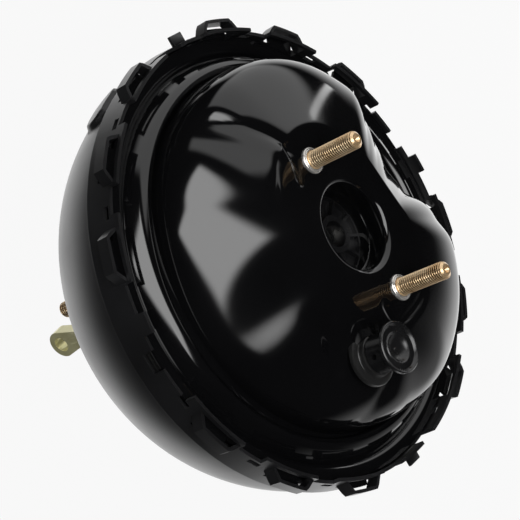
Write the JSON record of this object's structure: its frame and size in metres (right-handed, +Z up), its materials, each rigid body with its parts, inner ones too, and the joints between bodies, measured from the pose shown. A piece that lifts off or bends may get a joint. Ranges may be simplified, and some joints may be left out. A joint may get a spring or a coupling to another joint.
{
  "type": "vacuum brake booster",
  "caption": "Round single-diaphragm vacuum brake booster with a lobed front shell, bayonet rim, threaded studs, vacuum port with plug, and a pushrod with an eye.",
  "frame": {"origin": "centre of the four firewall studs on the rear mounting face", "axes": "-Y out of the front towards the master cylinder, +Y back along the pushrod to the pedal, X along the line of the two master cylinder studs, +Z up"},
  "size_m": [0.2756, 0.302, 0.2703],
  "materials": {
    "gloss_black": "gloss",
    "satin_black": "satin",
    "gold_zinc": "yellow zinc plate",
    "pale_zinc": "pale yellow zinc plate",
    "silver_zinc": "satin",
    "plain_steel": "satin",
    "spring_steel": "satin",
    "black_rubber": "matte",
    "black_plastic": "satin",
    "white_plastic": "matte",
    "brown_plastic": "matte",
    "grey_foam": "open foam",
    "white_felt": "felt",
    "aluminium_part": "satin"
  },
  "bodies": {
    "housing": {"rear_shell": "satin_black", "front_shell": "gloss_black", "front_reinforcement": "plain_steel", "cylinder_studs": "gold_zinc", "stud_collars": "silver_zinc", "rear_reinforcement": "plain_steel", "firewall_studs": "gold_zinc", "pushrod_disc": "black_plastic", "output_seal": "black_rubber", "port_grommet": "black_rubber", "diaphragm": "black_rubber", "rear_bearing": "white_plastic", "rear_seal": "black_rubber", "seal_retainer": "plain_steel", "dust_boot": "black_rubber"},
    "piston": {"power_piston": "brown_plastic", "diaphragm_plate": "plain_steel", "plate_lock_ring": "white_plastic", "output_rod": "silver_zinc", "adjusting_screw": "silver_zinc", "reaction_disc": "black_rubber", "rod_retainer": "plain_steel", "return_spring": "spring_steel", "stop_key": "plain_steel", "poppet_valve": "black_rubber", "poppet_retainer": "plain_steel", "poppet_spring": "spring_steel", "valve_spring": "spring_steel", "air_filter": "grey_foam", "silencer": "white_felt"},
    "valve": {"valve_plunger": "aluminium_part", "ball_retainer": "plain_steel"},
    "rod": {"input_rod": "pale_zinc"},
    "plug": {"port_plug": "black_plastic"}
  },
  "joints": [
    {"name": "piston_stroke", "type": "slide", "parent": "housing", "child": "piston", "axis": [0, -1, 0], "range_m": [0, 0.038], "stiffness_N_per_m": 3000, "springref_m": -0.03, "deforming": ["return_spring", "diaphragm", "dust_boot"]},
    {"name": "valve_travel", "type": "slide", "parent": "piston", "child": "valve", "axis": [0, -1, 0], "range_m": [0, 0.0016], "stiffness_N_per_m": 3000, "springref_m": -0.008, "deforming": ["valve_spring"]},
    {"name": "rod_swivel", "type": "hinge", "parent": "valve", "child": "rod", "pos_m": [0, -0.009, 0], "axis": [0, 0, 1], "range_deg": [0, 7]},
    {"name": "plug_pull", "type": "slide", "parent": "housing", "child": "plug", "axis": [0, -1, 0], "range_m": [0, 0.03]}
  ]
}
